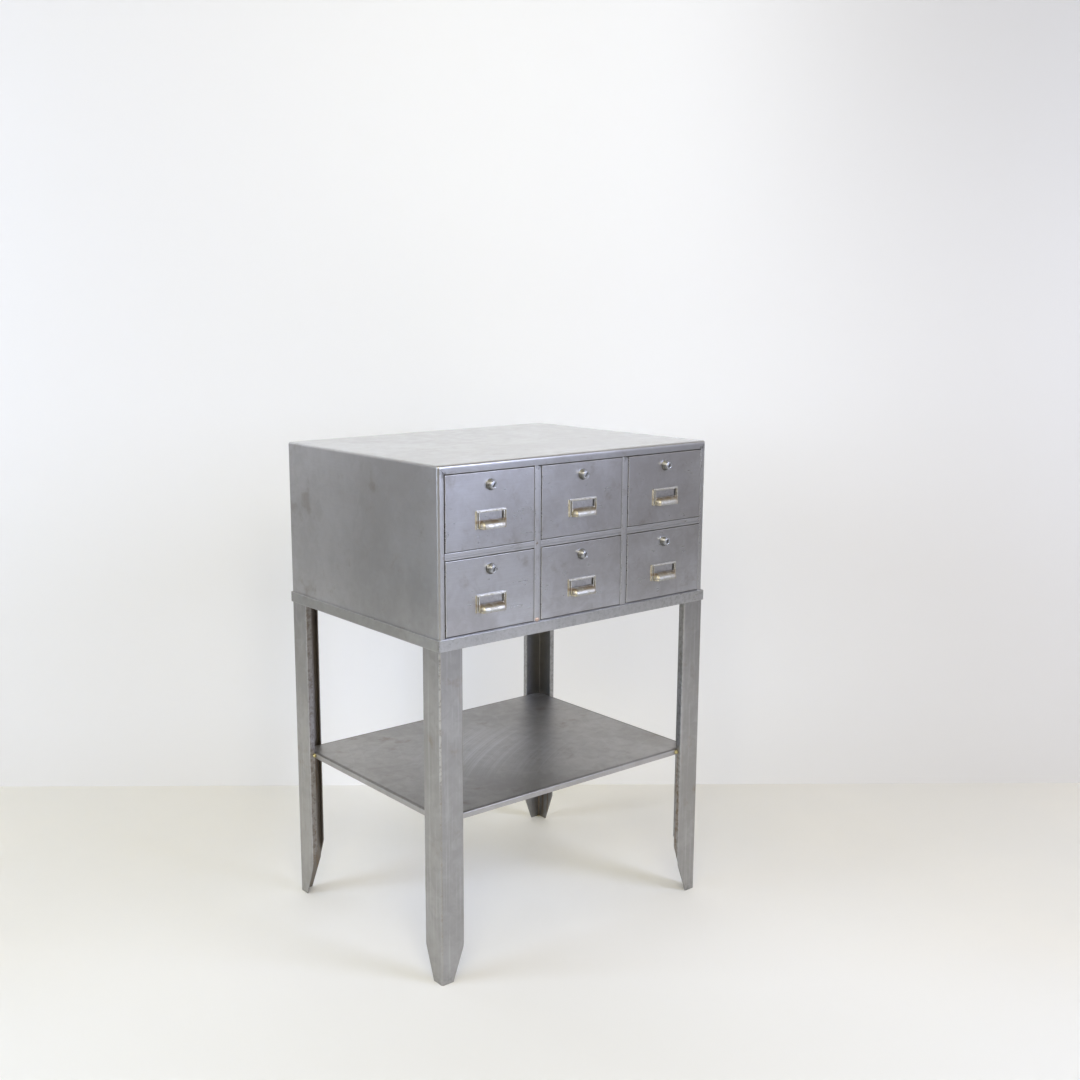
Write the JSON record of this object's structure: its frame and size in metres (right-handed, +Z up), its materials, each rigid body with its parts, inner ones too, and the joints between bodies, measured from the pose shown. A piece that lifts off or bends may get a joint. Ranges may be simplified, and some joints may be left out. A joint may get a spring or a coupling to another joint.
{
  "type": "metal drawer cabinet",
  "caption": "Bare steel drawer cabinet on a four-legged angle-iron stand with a lower shelf; the drawers have label pulls and turning cam locks.",
  "frame": {"origin": "on the floor, under the middle of the whole outline at rest", "axes": "+Z up; the drawers face -Y and slide out along -Y; +X to the right of someone facing the drawers"},
  "size_m": [0.6978, 0.549, 1],
  "materials": {
    "casing_steel": "ground bare sheet steel under thin clear lacquer",
    "drawer_steel": "ground bare sheet steel under thin clear lacquer, faintly mottled",
    "tray_steel": "dull bare sheet steel",
    "inner_steel": "dark mill-finish sheet steel",
    "frame_steel": "ground bare angle iron",
    "leg_steel": "ground bare sheet steel with faint brown rust stains inside",
    "shelf_steel": "polished bare sheet steel with swirling scratches",
    "braze": "rough beads of braze",
    "pull_nickel": "worn nickel plate with a warm cast",
    "lock_nickel": "worn nickel plate",
    "lock_brass": "dull brass"
  },
  "bodies": {
    "cabinet": {"casing_wrapper": "casing_steel", "casing_floor": "inner_steel", "back_panel": "inner_steel", "post_left": "casing_steel", "post_right": "casing_steel", "mid_rails": "casing_steel", "drawer_ledges": "inner_steel", "drawer_guides": "inner_steel", "frame_front": "frame_steel", "frame_back": "frame_steel", "frame_left": "frame_steel", "frame_right": "frame_steel", "leg_front_left": "leg_steel", "leg_front_right": "leg_steel", "leg_back_left": "leg_steel", "leg_back_right": "leg_steel", "shelf": "shelf_steel", "braze_beads": "braze"},
    "drawer_1": {"drawer_front_1": "drawer_steel", "drawer_tray_1": "tray_steel", "label_pull_1": "pull_nickel", "lock_barrel_1": "lock_nickel", "lock_nut_1": "lock_brass"},
    "drawer_2": {"drawer_front_2": "drawer_steel", "drawer_tray_2": "tray_steel", "label_pull_2": "pull_nickel", "lock_barrel_2": "lock_nickel", "lock_nut_2": "lock_brass"},
    "drawer_3": {"drawer_front_3": "drawer_steel", "drawer_tray_3": "tray_steel", "label_pull_3": "pull_nickel", "lock_barrel_3": "lock_nickel", "lock_nut_3": "lock_brass"},
    "drawer_4": {"drawer_front_4": "drawer_steel", "drawer_tray_4": "tray_steel", "label_pull_4": "pull_nickel", "lock_barrel_4": "lock_nickel", "lock_nut_4": "lock_brass"},
    "drawer_5": {"drawer_front_5": "drawer_steel", "drawer_tray_5": "tray_steel", "label_pull_5": "pull_nickel", "lock_barrel_5": "lock_nickel", "lock_nut_5": "lock_brass"},
    "drawer_6": {"drawer_front_6": "drawer_steel", "drawer_tray_6": "tray_steel", "label_pull_6": "pull_nickel", "lock_barrel_6": "lock_nickel", "lock_nut_6": "lock_brass"},
    "lock_1": {"lock_plug_1": "lock_brass", "lock_cam_1": "inner_steel"},
    "lock_2": {"lock_plug_2": "lock_brass", "lock_cam_2": "inner_steel"},
    "lock_3": {"lock_plug_3": "lock_brass", "lock_cam_3": "inner_steel"},
    "lock_4": {"lock_plug_4": "lock_brass", "lock_cam_4": "inner_steel"},
    "lock_5": {"lock_plug_5": "lock_brass", "lock_cam_5": "inner_steel"},
    "lock_6": {"lock_plug_6": "lock_brass", "lock_cam_6": "inner_steel"}
  },
  "joints": [
    {"name": "drawer_1_slide", "type": "slide", "parent": "cabinet", "child": "drawer_1", "axis": [0, -1, 0], "range_m": [0, 0.4]},
    {"name": "drawer_2_slide", "type": "slide", "parent": "cabinet", "child": "drawer_2", "axis": [0, -1, 0], "range_m": [0, 0.4]},
    {"name": "drawer_3_slide", "type": "slide", "parent": "cabinet", "child": "drawer_3", "axis": [0, -1, 0], "range_m": [0, 0.4]},
    {"name": "drawer_4_slide", "type": "slide", "parent": "cabinet", "child": "drawer_4", "axis": [0, -1, 0], "range_m": [0, 0.4]},
    {"name": "drawer_5_slide", "type": "slide", "parent": "cabinet", "child": "drawer_5", "axis": [0, -1, 0], "range_m": [0, 0.4]},
    {"name": "drawer_6_slide", "type": "slide", "parent": "cabinet", "child": "drawer_6", "axis": [0, -1, 0], "range_m": [0, 0.4]},
    {"name": "lock_1_turn", "type": "hinge", "parent": "drawer_1", "child": "lock_1", "pos_m": [-0.227, -0.25945, 0.9575], "axis": [0, -1, 0], "range_deg": [0, 90]},
    {"name": "lock_2_turn", "type": "hinge", "parent": "drawer_2", "child": "lock_2", "pos_m": [0, -0.25945, 0.9575], "axis": [0, -1, 0], "range_deg": [0, 90]},
    {"name": "lock_3_turn", "type": "hinge", "parent": "drawer_3", "child": "lock_3", "pos_m": [0.227, -0.25945, 0.9575], "axis": [0, -1, 0], "range_deg": [0, 90]},
    {"name": "lock_4_turn", "type": "hinge", "parent": "drawer_4", "child": "lock_4", "pos_m": [-0.227, -0.25945, 0.8005], "axis": [0, -1, 0], "range_deg": [0, 90]},
    {"name": "lock_5_turn", "type": "hinge", "parent": "drawer_5", "child": "lock_5", "pos_m": [0, -0.25945, 0.8005], "axis": [0, -1, 0], "range_deg": [0, 90]},
    {"name": "lock_6_turn", "type": "hinge", "parent": "drawer_6", "child": "lock_6", "pos_m": [0.227, -0.25945, 0.8005], "axis": [0, -1, 0], "range_deg": [0, 90]}
  ]
}
